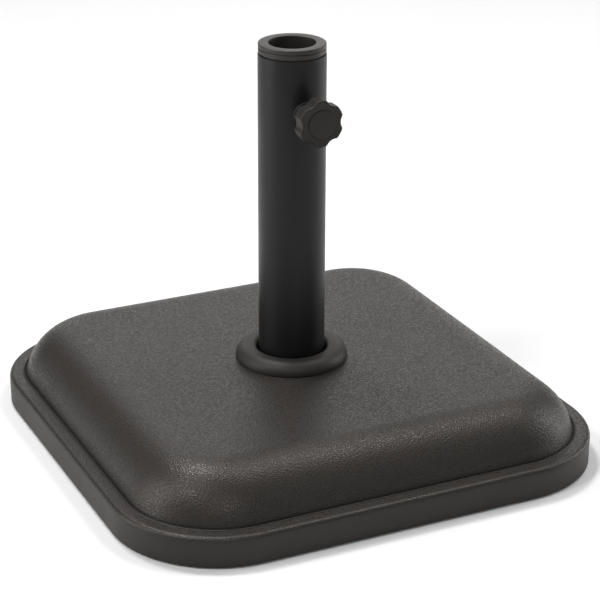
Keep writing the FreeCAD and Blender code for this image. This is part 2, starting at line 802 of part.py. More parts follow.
def make_knob_head():
    knob = new_body("knob_head", z=SCREW_LEVEL)
    disc(knob, "knob_block", "knob_radius", KNOB_BACK, KNOB_FRONT, "XZ_Plane")
    sketch = new_sketch(knob, "knob_notch_circle", "XZ_Plane", KNOB_BACK)
    add_circle(sketch, "knob_notch_radius", "knob_radius - knob_notch_depth + knob_notch_radius", "0")
    notch = extrude(knob, "Pocket", "knob_notch", sketch, "knob_thick")
    repeat_round(knob, "knob_notches", [notch], sketch, "knob_lobes")
    front, back = -value_of(KNOB_FRONT), -value_of(KNOB_BACK)
    thickness = front - back
    round_edges(
        knob,
        "knob_lobe_fillet",
        "knob_lobe_round",
        lambda edge: abs(edge.BoundBox.YLength + thickness) < LEVEL_TOLERANCE,
    )
    for name, place in (("front", front), ("back", back)):
        round_edges(
            knob,
            f"knob_{name}_fillet",
            "knob_edge_round",
            lambda edge: lies_at(edge, "Y", place),
        )
    disc(knob, "knob_cap_seat", "cap_radius", CAP_BACK, KNOB_FRONT, "XZ_Plane", kind="Pocket")
    hexagon(knob, "knob_hexagon", "screw_head_flats", SCREW_HEAD_BACK, CAP_BACK, "XZ_Plane", kind="Pocket")
    disc(knob, "knob_bore", "screw_radius", KNOB_BACK, SCREW_HEAD_BACK, "XZ_Plane", kind="Pocket")
    return knob


def make_knob_cap():
    cap = new_body("knob_cap", z=SCREW_LEVEL)
    face = f"{KNOB_FRONT} + cap_proud"
    disc(cap, "cap_disc", "cap_radius", CAP_BACK, face, "XZ_Plane")
    place = -value_of(face)
    round_edges(cap, "cap_fillet", "cap_round", lambda edge: lies_at(edge, "Y", place))
    return cap


def make_knob_screw():
    screw = new_body("knob_screw", z=SCREW_LEVEL)
    hexagon(screw, "screw_head", "screw_head_flats", SCREW_HEAD_BACK, CAP_BACK, "XZ_Plane")
    disc(screw, "screw_shank", "screw_radius", SCREW_SHOULDER, SCREW_HEAD_BACK, "XZ_Plane")
    disc(screw, "screw_dog", "dog_radius", DOG_END, SCREW_SHOULDER, "XZ_Plane")
    return screw


def make_tip_pad():
    pad = new_body("knob_tip_pad", z=SCREW_LEVEL)
    disc(pad, "tip_pad_disc", "tip_pad_radius", TIP_PAD_FRONT, TIP_PAD_BACK, "XZ_Plane")
    front = -value_of(TIP_PAD_FRONT)
    round_edges(pad, "tip_pad_fillet", "tip_pad_round", lambda edge: lies_at(edge, "Y", front))
    socket_floor = f"{TIP_PAD_BACK} - dog_depth"
    disc(pad, "tip_pad_socket", "dog_radius + screw_fit", socket_floor, TIP_PAD_BACK, "XZ_Plane", "Pocket")
    return pad


keep(make_knob_boss())
keep(make_knob_head())
keep(make_knob_cap())
keep(make_knob_screw())
keep(make_tip_pad())


# ---------------------------------------------------------------- checks and export

doc.recompute()
for item in doc.Objects:
    if "Invalid" in item.State or "Error" in item.State:
        raise RuntimeError(f"{item.Label} failed: {item.State}")
for part in nodes:
    if part.Shape.isNull() or not part.Shape.isValid() or not part.Shape.Solids:
        raise RuntimeError(f"{part.Label} has no valid solid")

os.makedirs("parts", exist_ok=True)
for part in nodes:
    part.Shape.exportStep(f"parts/{part.Label}.step")
    box = part.Shape.BoundBox
    print(
        f"{part.Label}: {len(part.Shape.Solids)} solid(s), {part.Shape.Volume / 1000:.2f} cm3, "
        f"X {box.XMin:.1f} to {box.XMax:.1f}, Y {box.YMin:.1f} to {box.YMax:.1f}, "
        f"Z {box.ZMin:.1f} to {box.ZMax:.1f}"
    )
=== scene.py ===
import json
import math

import bmesh
import bpy
from mathutils import Matrix, Vector, noise


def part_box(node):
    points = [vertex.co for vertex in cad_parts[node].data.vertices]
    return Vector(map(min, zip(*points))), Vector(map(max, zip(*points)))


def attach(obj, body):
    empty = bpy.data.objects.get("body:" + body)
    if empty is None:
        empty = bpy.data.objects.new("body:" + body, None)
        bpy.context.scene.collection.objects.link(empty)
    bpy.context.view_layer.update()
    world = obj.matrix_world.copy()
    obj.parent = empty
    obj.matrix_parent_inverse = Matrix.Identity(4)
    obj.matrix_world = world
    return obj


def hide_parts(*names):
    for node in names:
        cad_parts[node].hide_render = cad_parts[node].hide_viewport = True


# Parasol base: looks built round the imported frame. Metres, +Z up, origin on the floor under the tube's axis.
# The knob's screw lies along Y and the knob points to -Y.

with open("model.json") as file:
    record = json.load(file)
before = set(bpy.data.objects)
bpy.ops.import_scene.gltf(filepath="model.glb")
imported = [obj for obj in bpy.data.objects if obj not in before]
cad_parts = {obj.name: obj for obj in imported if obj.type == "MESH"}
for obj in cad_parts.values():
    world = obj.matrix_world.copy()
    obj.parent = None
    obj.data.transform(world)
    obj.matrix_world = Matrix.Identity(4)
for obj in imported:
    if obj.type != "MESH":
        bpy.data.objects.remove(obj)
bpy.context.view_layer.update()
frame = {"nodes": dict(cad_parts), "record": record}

MM = 0.001
TURN = 2 * math.pi
WARM = (1.0, 0.93, 0.875)

BODY_OF = {
    node: body
    for body, members in frame["record"]["behaviour"]["bodies"].items()
    for node in members
}


# ---------------------------------------------------------------- materials


class Finish:
    """A material whose node tree is built up call by call. Scales are features per metre."""

    def __init__(self, name):
        self.material = bpy.data.materials.new(name)
        self.material.use_nodes = True
        self.tree = self.material.node_tree
        self.shader = self.tree.nodes["Principled BSDF"]
        self.place = self.tree.nodes.new("ShaderNodeTexCoord").outputs["Object"]
        self.relief = None

    def node(self, kind, **settings):
        made = self.tree.nodes.new(f"ShaderNode{kind}")
        for key, value in settings.items():
            setattr(made, key, value)
        return made

    def feed(self, socket, value):
        """Links a socket to an output, or sets it to a plain value."""
        if isinstance(value, bpy.types.NodeSocket):
            self.tree.links.new(value, socket)
        else:
            socket.default_value = value

    def noise(self, scale, detail=4.0, roughness=0.55, distortion=0.0, where=None):
        made = self.node("TexNoise")
        self.feed(made.inputs["Vector"], where or self.place)
        self.feed(made.inputs["Scale"], scale)
        self.feed(made.inputs["Detail"], detail)
        self.feed(made.inputs["Roughness"], roughness)
        self.feed(made.inputs["Distortion"], distortion)
        return made.outputs["Fac"]

    def cells(self, scale, feature="F1", where=None, output="Distance"):
        made = self.node("TexVoronoi", feature=feature)
        self.feed(made.inputs["Vector"], where or self.place)
        self.feed(made.inputs["Scale"], scale)
        return made.outputs[output]

    def stretched(self, x=1.0, y=1.0, z=1.0):
        """The place, scaled along each axis."""
        made = self.node("Mapping")
        self.feed(made.inputs["Vector"], self.place)
        made.inputs["Scale"].default_value = (x, y, z)
        return made.outputs["Vector"]

    def warped(self, amount, scale):
        """The place, pushed about by a noise of its own."""
        shift = self.node("TexNoise")
        self.feed(shift.inputs["Vector"], self.place)
        self.feed(shift.inputs["Scale"], scale)
        centred = self.node("VectorMath", operation="SUBTRACT")
        self.feed(centred.inputs[0], shift.outputs["Color"])
        centred.inputs[1].default_value = (0.5, 0.5, 0.5)
        made = self.node("VectorMath", operation="MULTIPLY_ADD")
        self.feed(made.inputs[0], centred.outputs[0])
        made.inputs[1].default_value = (amount, amount, amount)
        self.feed(made.inputs[2], self.place)
        return made.outputs[0]

    def span(self, value, low, high, to_low=0.0, to_high=1.0):
        """A value brought smoothly from one range to another."""
        made = self.node("MapRange", interpolation_type="SMOOTHSTEP")
        self.feed(made.inputs["Value"], value)
        for name, number in (("From Min", low), ("From Max", high), ("To Min", to_low), ("To Max", to_high)):
            self.feed(made.inputs[name], number)
        return made.outputs["Result"]

    def math(self, operation, first, second=0.0):
        made = self.node("Math", operation=operation)
        self.feed(made.inputs[0], first)
        self.feed(made.inputs[1], second)
        return made.outputs[0]

    def blend(self, share, first, second):
        """A colour between two colours."""
        made = self.node("Mix", data_type="RGBA")
        self.feed(made.inputs["Factor"], share)
        for name, colour in (("A", first), ("B", second)):
            socket = next(s for s in made.inputs if s.name == name and s.type == "RGBA")
            self.feed(socket, colour if isinstance(colour, bpy.types.NodeSocket) else (*colour, 1.0))
        return next(s for s in made.outputs if s.type == "RGBA")

    def part_of_place(self, axis):
        made = self.node("SeparateXYZ")
        self.feed(made.inputs[0], self.place)
        return made.outputs[axis]

    def emboss(self, height, depth, strength=1.0):
        """Adds a relief of a real depth in metres on top of those before it."""
        made = self.node("Bump")
        self.feed(made.inputs["Height"], height)
        self.feed(made.inputs["Distance"], depth)
        self.feed(made.inputs["Strength"], strength)
        if self.relief:
            self.feed(made.inputs["Normal"], self.relief)
        self.relief = made.outputs["Normal"]

    def done(self, colour, roughness, metallic=0.0, specular=0.5, sheen_tint=(1.0, 1.0, 1.0)):
        self.feed(self.shader.inputs["Base Color"], colour)
        self.feed(self.shader.inputs["Roughness"], roughness)
        self.shader.inputs["Metallic"].default_value = metallic
        self.shader.inputs["Specular IOR Level"].default_value = specular
        self.shader.inputs["Specular Tint"].default_value = (*sheen_tint, 1.0)
        if self.relief:
            self.feed(self.shader.inputs["Normal"], self.relief)
        return self.material


def shell_finish(ledge):
    """Rotomoulded plastic: leather grain on the dome and ledge with painted shade in its valleys, and a smooth
    satin band below them coloured darker as painted shade.
    """
    made = Finish("leather_grained_plastic")
    level = made.part_of_place("Z")
    above_band = made.span(level, ledge - 3.5 * MM, ledge - 1.0 * MM)
    lip_rise = made.span(level, ledge + 0.1 * MM, ledge + 0.4 * MM)
    lip_fall = made.span(level, ledge + 0.8 * MM, ledge + 1.4 * MM, 0.8, 0.0)
    off_lip = made.math("SUBTRACT", 1.0, made.math("MULTIPLY", lip_rise, lip_fall))
    grained = made.math("MULTIPLY", above_band, off_lip)
    warped = made.warped(0.9 * MM, 420)
    pebble = made.cells(600, "F1", warped)
    wrinkle = made.noise(620, 3, 0.6, 0.6, warped)
    broad = made.noise(14, 3)
    pebble_height = made.span(pebble, 0.15, 0.75, 1.0, 0.0)
    relief = made.math("ADD", pebble_height, made.math("MULTIPLY", wrinkle, 0.5))
    grain = made.math("MULTIPLY", relief, grained)
    made.emboss(made.noise(55, 2), 0.05 * MM)
    made.emboss(made.noise(2600, 2), 0.012 * MM)
    made.emboss(grain, 0.13 * MM)
    tone = made.blend(broad, (0.0105, 0.0090, 0.0080), (0.0155, 0.0133, 0.0118))
    # Painted shade: the grain's valleys are coloured darker and the pebble tops lighter.
    valley_shaded_tone = made.blend(made.math("MULTIPLY", pebble_height, 0.6), tone, (0.030, 0.0262, 0.0234))
    # Painted shade: the smooth band is coloured darker than the grained plastic above it.
    colour = made.blend(grained, (0.0075, 0.0072, 0.0071), valley_shaded_tone)
    grain_roughness = made.span(pebble_height, 0.0, 1.0, 0.52, 0.24)
    scuffs = made.span(made.noise(90, 6, 0.7, 1.0), 0.5, 0.75, 0.0, 0.07)
    band_roughness = made.math("ADD", made.span(broad, 0.2, 0.8, 0.50, 0.57), scuffs)
    choice = made.node("Mix", data_type="FLOAT")
    made.feed(choice.inputs[0], grained)
    made.feed(choice.inputs[2], band_roughness)
    made.feed(choice.inputs[3], made.math("ADD", grain_roughness, scuffs))
    return made.done(colour, choice.outputs[0], specular=0.5, sheen_tint=WARM)


def moulded_finish(name, dark, light, roughness, texture_depth, specular=0.4):
    """Injection-moulded plastic: a fine eroded texture, slow tone changes and faint flow marks."""
    made = Finish(name)
    slow = made.noise(22, 3)
    flow = made.noise(60, 4, 0.6, 1.5, made.stretched(1, 1, 0.25))
    made.emboss(made.noise(3200, 3, 0.6), texture_depth)
    made.emboss(made.noise(120, 3), 2 * texture_depth)
    colour = made.blend(made.math("MULTIPLY", made.math("ADD", slow, flow), 0.5), dark, light)
    scuffs = made.span(made.noise(300, 5, 0.7, 2.0), 0.58, 0.72, 0.0, 0.10)
    rough = made.math("ADD", made.span(slow, 0.3, 0.7, roughness - 0.04, roughness + 0.04), scuffs)
    return made.done(colour, rough, specular=specular, sheen_tint=WARM)


def powder_coat_finish():
    """Black powder coat on steel: orange peel, faint drawing lines under it and light scuffs."""
    made = Finish("powder_coat")
    peel = made.noise(850, 3, 0.5)
    lines = made.noise(420, 2, 0.5, 0.0, made.stretched(1, 1, 0.02))
    slow = made.noise(16, 3)
    made.emboss(peel, 0.03 * MM)
    made.emboss(lines, 0.008 * MM)
    colour = made.blend(slow, (0.0060, 0.0058, 0.0057), (0.0100, 0.0096, 0.0094))
    scuffs = made.span(made.noise(150, 6, 0.72, 1.2, made.stretched(1, 1, 0.4)), 0.56, 0.74, 0.0, 0.12)
    rough = made.math("ADD", made.span(slow, 0.25, 0.75, 0.36, 0.44), scuffs)
    return made.done(colour, rough, specular=0.28)


def zinc_finish():
    """Zinc-plated steel: pale, slightly mottled, with turning marks."""
    made = Finish("zinc_plated_steel")
    mottle = made.noise(320, 5, 0.65, 0.8)
    marks = made.noise(2400, 2, 0.5, 0.0, made.stretched(0.15, 1, 1))
    made.emboss(marks, 0.01 * MM)
    made.emboss(made.noise(1200, 3), 0.012 * MM)
    colour = made.blend(mottle, (0.46, 0.46, 0.44), (0.66, 0.66, 0.65))
    return made.done(colour, made.span(mottle, 0.3, 0.7, 0.26, 0.46), metallic=1.0)


def rubber_finish():
    """Moulded black rubber with a dull bloom."""
    made = Finish("foot_rubber")
    bloom = made.noise(140, 5, 0.6)
    made.emboss(made.noise(2000, 3, 0.6), 0.03 * MM)
    colour = made.blend(bloom, (0.012, 0.012, 0.012), (0.034, 0.033, 0.031))
    return made.done(colour, made.span(bloom, 0.3, 0.7, 0.68, 0.86), specular=0.3)


def concrete_finish():
    """Cast concrete: sand, darker stones and air pores, with painted shade in the pores."""
    made = Finish("cast_concrete")
    stones = made.cells(130, output="Color")
    sand = made.noise(900, 4, 0.7)
    cloud = made.noise(30, 4)
    pores = made.span(made.cells(210), 0.10, 0.22)
    made.emboss(made.noise(260, 6, 0.65), 0.5 * MM)
    made.emboss(pores, 0.8 * MM)
    paste = made.blend(cloud, (0.20, 0.19, 0.175), (0.34, 0.33, 0.305))
    grey = made.node("RGBToBW")
    made.feed(grey.inputs[0], stones)
    speckled = made.blend(made.math("MULTIPLY", grey.outputs[0], 0.4), paste, (0.12, 0.115, 0.11))
    sandy = made.blend(made.math("MULTIPLY", sand, 0.35), speckled, (0.42, 0.40, 0.36))
    # Painted shade: the air pores are coloured dark as well as sunk.
    colour = made.blend(pores, (0.06, 0.058, 0.055), sandy)
    return made.done(colour, made.span(sand, 0.3, 0.7, 0.82, 0.95), specular=0.3)


def floor_finish():
    made = Finish("pale_floor")
    cloud = made.noise(1.5, 3)
    made.emboss(made.noise(180, 3), 0.05 * MM)
    colour = made.blend(cloud, (0.86, 0.86, 0.86), (0.90, 0.90, 0.90))
    return made.done(colour, made.span(cloud, 0.3, 0.7, 0.75, 0.85), specular=0.2)


# ---------------------------------------------------------------- mesh helpers


def add_piece(name, vertices, faces, material, node, also=(), crease=38):
    """A piece that stands for CAD nodes: it rides on the first one's body, takes the given material and hides
    the nodes unless also is None.
    """
    mesh = bpy.data.meshes.new(name)
    mesh.from_pydata([tuple(point) for point in vertices], [], faces)
    work = bmesh.new()
    work.from_mesh(mesh)
    bmesh.ops.remove_doubles(work, verts=work.verts, dist=1e-7)
    bmesh.ops.recalc_face_normals(work, faces=work.faces)
    work.to_mesh(mesh)
    work.free()
    mesh.shade_smooth()
    mesh.set_sharp_from_angle(angle=math.radians(crease))
    mesh.materials.append(material)
    piece = bpy.data.objects.new(name, mesh)
    bpy.context.scene.collection.objects.link(piece)
    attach(piece, BODY_OF[node])
    if also is not None:
        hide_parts(node, *also)
    return piece


def softened(corners, steps=5):
    """A closed outline of (radius, level, rounding) corners, with each corner softened by a short curve."""
    outline = []
    count = len(corners)
    for index, (radius, level, rounding) in enumerate(corners):
        here = Vector((radius, level))
        before = Vector(corners[index - 1][:2]) - here
        after = Vector(corners[(index + 1) % count][:2]) - here
        if rounding <= 0:
            outline.append(here)
            continue
        half_turn = before.angle(after) / 2
        set_back = min(rounding / math.tan(half_turn), 0.49 * before.length, 0.49 * after.length)
        start = here + before.normalized() * set_back
        end = here + after.normalized() * set_back
        for step in range(steps + 1):
            share = step / steps
            outline.append(
                start * (1 - share) ** 2 + here * (2 * share * (1 - share)) + end * share**2
            )
    return outline


def grid_faces(rows, columns, wrap_rows=True, wrap_columns=True):
    """Quads between rows of points. Row and column counts are of points."""
    faces = []
    for row in range(rows if wrap_rows else rows - 1):
        following = (row + 1) % rows
        for column in range(columns if wrap_columns else columns - 1):
            beside = (column + 1) % columns
            faces.append(
                (
                    row * columns + column,
                    row * columns + beside,
                    following * columns + beside,
                    following * columns + column,
                )
            )
    return faces


def turned_mesh(outline, segments=192, warp=None):
    """A closed outline of (radius, level) turned about Z. The warp changes a radius by angle and level."""
    vertices = []
    for radius, level in outline:
        for step in range(segments):
            angle = TURN * step / segments
            reach = warp(radius, level, angle) if warp else radius
            vertices.append(Vector((reach * math.cos(angle), reach * math.sin(angle), level)))
    return vertices, grid_faces(len(outline), segments)


def moved(vertices, place):
    return [point + Vector(place) for point in vertices]


def along_screw(vertices):
    """Points built about Z, laid along -Y at the screw's level: Z becomes the distance from the axis."""
    return [Vector((point.x, -point.z, SCREW_LEVEL + point.y)) for point in vertices]


def joined(*parts):
    """Several (vertices, faces) pairs as one."""
    vertices, faces = [], []
    for part_vertices, part_faces in parts:
        start = len(vertices)
        vertices += part_vertices
        faces += [tuple(index + start for index in face) for face in part_faces]
    return vertices, faces


def threaded_rod(radius, pitch, depth, low, high, segments=64, steps_per_pitch=10):
    """A solid rod about Z with a helical thread that fades out at both ends."""
    count = max(4, round((high - low) / pitch * steps_per_pitch))
    vertices = []
    for row in range(count + 1):
        level = low + (high - low) * row / count
        from_end = min(level - low, high - level)
        fade = min(1.0, from_end / (0.8 * pitch))
        for step in range(segments):
            share = step / segments
            phase = (level / pitch - share) % 1.0
            tooth = 1 - min(1.0, max(0.0, (1 - abs(2 * phase - 1)) * 1.25 - 0.1))
            reach = radius - depth * (1 - (1 - tooth) * fade)
            angle = TURN * share
            vertices.append(Vector((reach * math.cos(angle), reach * math.sin(angle), level)))
    faces = grid_faces(count + 1, segments, wrap_rows=False)
    for row, level in ((0, low), (count, high)):
        centre = len(vertices)
        vertices.append(Vector((0, 0, level)))
        for step in range(segments):
            faces.append((row * segments + step, row * segments + (step + 1) % segments, centre))
    return vertices, faces


def hex_block(flats, low, high, bore, chamfer_low, chamfer_high, segments=96):
    """A hexagon about Z with its corners turned off at one or both ends, and a bore unless it is 0."""
    across = flats / 2

    def side(angle):
        return across / math.cos((angle + TURN / 12) % (TURN / 6) - TURN / 12)

    corner = across / math.cos(TURN / 12)
    fall = (corner - across) * math.tan(math.radians(30))
    rows = []
    for level, limit in (
        (low, across if chamfer_low else corner),
        (low + fall, corner),
        (high - fall, corner),
        (high, across if chamfer_high else corner),
    ):
        rows.append([(min(side(TURN * (step + 0.5) / segments), limit), level) for step in range(segments)])
    rows.append([(bore, high)] * segments)
    rows.append([(bore, low)] * segments)
    vertices = []
    for row in rows:
        for step, (reach, level) in enumerate(row):
            angle = TURN * (step + 0.5) / segments
            vertices.append(Vector((reach * math.cos(angle), reach * math.sin(angle), level)))
    return vertices, grid_faces(len(rows), segments, wrap_rows=bore > 0)


def cut_away(piece, vertices, faces):
    """Cuts a closed form out of a piece's mesh."""
    tool_mesh = bpy.data.meshes.new("cutter")
    tool_mesh.from_pydata([tuple(point) for point in vertices], [], faces)
    work = bmesh.new()
    work.from_mesh(tool_mesh)
    bmesh.ops.remove_doubles(work, verts=work.verts, dist=1e-7)
    bmesh.ops.recalc_face_normals(work, faces=work.faces)
    work.to_mesh(tool_mesh)
    work.free()
    tool = bpy.data.objects.new("cutter", tool_mesh)
    bpy.context.scene.collection.objects.link(tool)
    cut = piece.modifiers.new("cut", "BOOLEAN")
    cut.operation = "DIFFERENCE"
    cut.solver = "EXACT"
    cut.object = tool
    graph = bpy.context.evaluated_depsgraph_get()
    result = bpy.data.meshes.new_from_object(piece.evaluated_get(graph))
    piece.modifiers.clear()
    piece.data = result
    result.shade_smooth()
    result.set_sharp_from_angle(angle=math.radians(38))
    bpy.data.objects.remove(tool)


# ---------------------------------------------------------------- places from the frame

shell_low, shell_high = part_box("base_shell")
tube_low, tube_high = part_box("pole_tube")
collar_low, collar_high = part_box("collar_ring")
outer_low, outer_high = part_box("outer_reducer")
inner_low, inner_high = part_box("inner_reducer")
boss_low, boss_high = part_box("knob_boss")
knob_low, knob_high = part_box("knob_head")
cap_low, cap_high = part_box("knob_cap")
screw_low, screw_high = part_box("knob_screw")
pad_low, pad_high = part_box("knob_tip_pad")
cover_low, cover_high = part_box("bottom_cover")

SCREW_LEVEL = (boss_low.z + boss_high.z) / 2
TUBE_RADIUS = tube_high.x
HALF_SIDE = shell_high.x
TUBE_BORE = TUBE_RADIUS - 1.5 * MM

# sizes of the shell that its box doesn't give
RIM_CORNER = 90 * MM
LEDGE_LEVEL = 26.5 * MM
RIM_ROUND = 4 * MM
WALL = 3 * MM
DOME_INSET = 14.5 * MM
DOME_LEAN = math.radians(18.3)
DOME_ROUND_SHARE = 0.85
BEAD_WIDTH = 1.6 * MM
BEAD_HEIGHT = 0.7 * MM
GROOVE_WIDTH = 1.4 * MM
GROOVE_DEPTH = 1.0 * MM
COVER_SCREW_INSET = 11 * MM
COVER_SCREW_OFFSET = 70 * MM
SCREW_HEAD_HEIGHT = 5.3 * MM
SCREW_RADIUS = 4.0 * MM
SCREW_PITCH = 1.25 * MM
SCREW_BORE = SCREW_RADIUS + 0.05 * MM

SHELL = shell_finish(LEDGE_LEVEL)
COLLAR = moulded_finish("collar_plastic", (0.016, 0.0150, 0.0141), (0.024, 0.0224, 0.0210), 0.52, 0.012 * MM)
KNOB = moulded_finish("knob_plastic", (0.0080, 0.0078, 0.0077), (0.0125, 0.0121, 0.0118), 0.46, 0.014 * MM)
REDUCER = moulded_finish(
    "reducer_plastic", (0.020, 0.0188, 0.0176), (0.0290, 0.0272, 0.0255), 0.42, 0.012 * MM
)
COVER = moulded_finish("cover_plastic", (0.0140, 0.0138, 0.0135), (0.0240, 0.0235, 0.0230), 0.55, 0.030 * MM)
NYLON = moulded_finish("natural_nylon", (0.52, 0.50, 0.44), (0.62, 0.60, 0.54), 0.45, 0.010 * MM)
COAT = powder_coat_finish()
ZINC = zinc_finish()
RUBBER = rubber_finish()
CONCRETE = concrete_finish()


# ---------------------------------------------------------------- the shell


def arc_points(centre, radius, start, end, steps):
    """Points of an arc as (x, y), from one angle to another."""
    return [
        (
            centre[0] + radius * math.cos(start + (end - start) * step / steps),
            centre[1] + radius * math.sin(start + (end - start) * step / steps),
        )
        for step in range(steps + 1)
    ]


def dome_profile(foot_inset, foot_level, top_level, rounding, steps):
    """From the dome's foot up its lean and over its wide round to the flat top, as (inset, level)."""
    lean = DOME_LEAN
    crest = foot_inset + (top_level - foot_level) * math.tan(lean)
    half_turn = (math.pi / 2 - lean) / 2
    top_end = crest + rounding * math.tan(half_turn)
    centre = (top_end, top_level - rounding)
    arc = arc_points(centre, rounding, math.pi - lean, math.pi / 2, steps)
    slope = Vector(arc[0]) - Vector((foot_inset, foot_level))
    rise = [
        (foot_inset + slope.x * step / 5, foot_level + slope.y * step / 5)
        for step in range(5)
    ]
    return rise + arc


def shell_profile():
    """The shell's section from its lower outer edge up to the flat top, as (inset, level)."""
    low = shell_low.z
    round_start = LEDGE_LEVEL - RIM_ROUND
    lip = 0.6 * MM
    points = [(WALL, low), (lip, low), (0.18 * MM, low + 0.18 * MM), (0.0, low + lip)]
    points += [(0.0, low + (round_start - low) * step / 6) for step in range(1, 6)]
    points += arc_points((RIM_ROUND, round_start), RIM_ROUND, math.pi, math.pi / 2, 9)
    groove_outside = DOME_INSET - GROOVE_WIDTH
    bead_start = groove_outside - BEAD_WIDTH
    bead_middle = groove_outside - BEAD_WIDTH / 2
    points += [(RIM_ROUND + (bead_start - RIM_ROUND) * step / 4, LEDGE_LEVEL) for step in range(1, 4)]
    for step in range(9):
        angle = math.pi * (1 - step / 8)
        points.append(
            (
                bead_middle + BEAD_WIDTH / 2 * math.cos(angle),
                LEDGE_LEVEL + BEAD_HEIGHT * math.sin(angle),
            )
        )
    groove_middle = DOME_INSET - GROOVE_WIDTH / 2
    for step in range(1, 6):
        angle = math.pi * (1 + step / 6)
        points.append(
            (
                groove_middle + GROOVE_WIDTH / 2 * math.cos(angle),
                LEDGE_LEVEL + GROOVE_DEPTH * math.sin(angle),
            )
        )
    return points + dome_profile(DOME_INSET, LEDGE_LEVEL, shell_high.z, DOME_ROUND, 26)


def inner_profile():
    """The shell's inner surface from its lower edge up to the inner flat, as (inset, level)."""
    half_turn = (math.pi / 2 - DOME_LEAN) / 2
    foot = DOME_INSET + WALL * math.tan(half_turn)
    ledge = LEDGE_LEVEL - WALL
    start = [(WALL, shell_low.z + (ledge - shell_low.z) * step / 3) for step in range(1, 4)]
    return start + dome_profile(foot, ledge, shell_high.z - WALL, DOME_ROUND - WALL, 12)


DOME_ROUND = (
    DOME_ROUND_SHARE
    * (shell_high.z - LEDGE_LEVEL)
    / math.cos(DOME_LEAN)
    / math.tan((math.pi / 2 - DOME_LEAN) / 2)
)
SIDE_STEPS = 76
CORNER_STEPS = 48


def soft_loop(inset, level):
    """One loop of the base's outline moved inwards. Every loop has the same number of points."""
    flat = HALF_SIDE - RIM_CORNER
    bend = RIM_CORNER - inset
    loop = []
    for quarter in range(4):
        turn = Matrix.Rotation(math.pi / 2 * quarter, 2)
        for step in range(SIDE_STEPS):
            loop.append(turn @ Vector((flat + bend, -flat + 2 * flat * step / SIDE_STEPS)))
        for step in range(CORNER_STEPS):
            angle = math.pi / 2 * step / CORNER_STEPS
            loop.append(turn @ Vector((flat + bend * math.cos(angle), flat + bend * math.sin(angle))))
    return [Vector((*point, level)) for point in loop]


def round_loop(like, radius, level):
    """A circle whose points lie on the same rays as another loop's."""
    return [Vector((point.x, point.y, 0)).normalized() * radius + Vector((0, 0, level)) for point in like]


def make_shell():
    loops = [soft_loop(inset, level) for inset, level in shell_profile()]
    hole = TUBE_RADIUS + 0.6 * MM
    edge = 0.8 * MM
    top_edge = loops[-1]
    top = shell_high.z
    rim = round_loop(top_edge, hole + edge, top)
    inner_steps = 34
    for step in range(1, inner_steps):
        loops.append([a.lerp(b, step / inner_steps) for a, b in zip(top_edge, rim)])
    loops.append(rim)
    loops.append(round_loop(top_edge, hole + 0.25 * edge, top - 0.25 * edge))
    loops.append(round_loop(top_edge, hole, top - edge))
    inside = [soft_loop(inset, level) for inset, level in inner_profile()]
    roof = inside[-1]
    loops.append(round_loop(roof, hole, top - WALL))
    roof_edge = loops[-1]
    for step in range(1, 12):
        loops.append([a.lerp(b, step / 12) for a, b in zip(roof_edge, roof)])
    loops += reversed(inside)
    vertices = [point for loop in loops for point in loop]
    columns = len(loops[0])
    faces = grid_faces(len(loops), columns)
    posts = []
    ledge = LEDGE_LEVEL - WALL
    post_outline = softened(
        [
            (2.0 * MM, cover_high.z, 0.2 * MM),
            (4.5 * MM, cover_high.z, 0.3 * MM),
            (4.5 * MM, ledge, 0),
            (2.0 * MM, ledge, 0),
        ],
        3,
    )
    for place in cover_screw_places():
        post_vertices, post_faces = turned_mesh(post_outline, 32)
        posts.append((moved(post_vertices, place), post_faces))
    return add_piece("base_shell_moulding", *joined((vertices, faces), *posts), SHELL, "base_shell")


def cover_screw_places():
    """The eight places of the cover's screws, two along each side."""
    reach = HALF_SIDE - COVER_SCREW_INSET
    places = []
    for quarter in range(4):
        turn = Matrix.Rotation(math.pi / 2 * quarter, 2)
        for offset in (-COVER_SCREW_OFFSET, COVER_SCREW_OFFSET):
            places.append((*(turn @ Vector((offset, -reach))), 0.0))
    return places


# ---------------------------------------------------------------- underside


def make_feet():
    """Four rubber feet with grip rings in their soles."""
    for node in ("foot_pad_front_left", "foot_pad_front_right", "foot_pad_back_left", "foot_pad_back_right"):
        low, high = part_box(node)
        middle = (low + high) / 2
        radius = (high.x - low.x) / 2
        sole = [(0.0, low.z, 0), (3.0 * MM, low.z, 0.2 * MM)]
        for ring in range(3):
            start = (4.0 + 4.0 * ring) * MM
            sole += [
                (start, low.z + 0.9 * MM, 0.2 * MM),
                (start + 1.2 * MM, low.z + 0.9 * MM, 0.2 * MM),
                (start + 2.0 * MM, low.z, 0.2 * MM),
                (start + 3.2 * MM, low.z, 0.2 * MM),
            ]
        rim = [
            (radius, low.z, 1.2 * MM),
            (radius - 0.6 * MM, cover_low.z, 0.4 * MM),
            (4.0 * MM, cover_low.z, 0.1 * MM),
            (4.0 * MM, high.z, 0.3 * MM),
            (0.0, high.z, 0),
        ]
        vertices, faces = turned_mesh(softened(sole + rim, 4), 96)
        add_piece(f"{node}_rubber", moved(vertices, (middle.x, middle.y, 0)), faces, RUBBER, node)


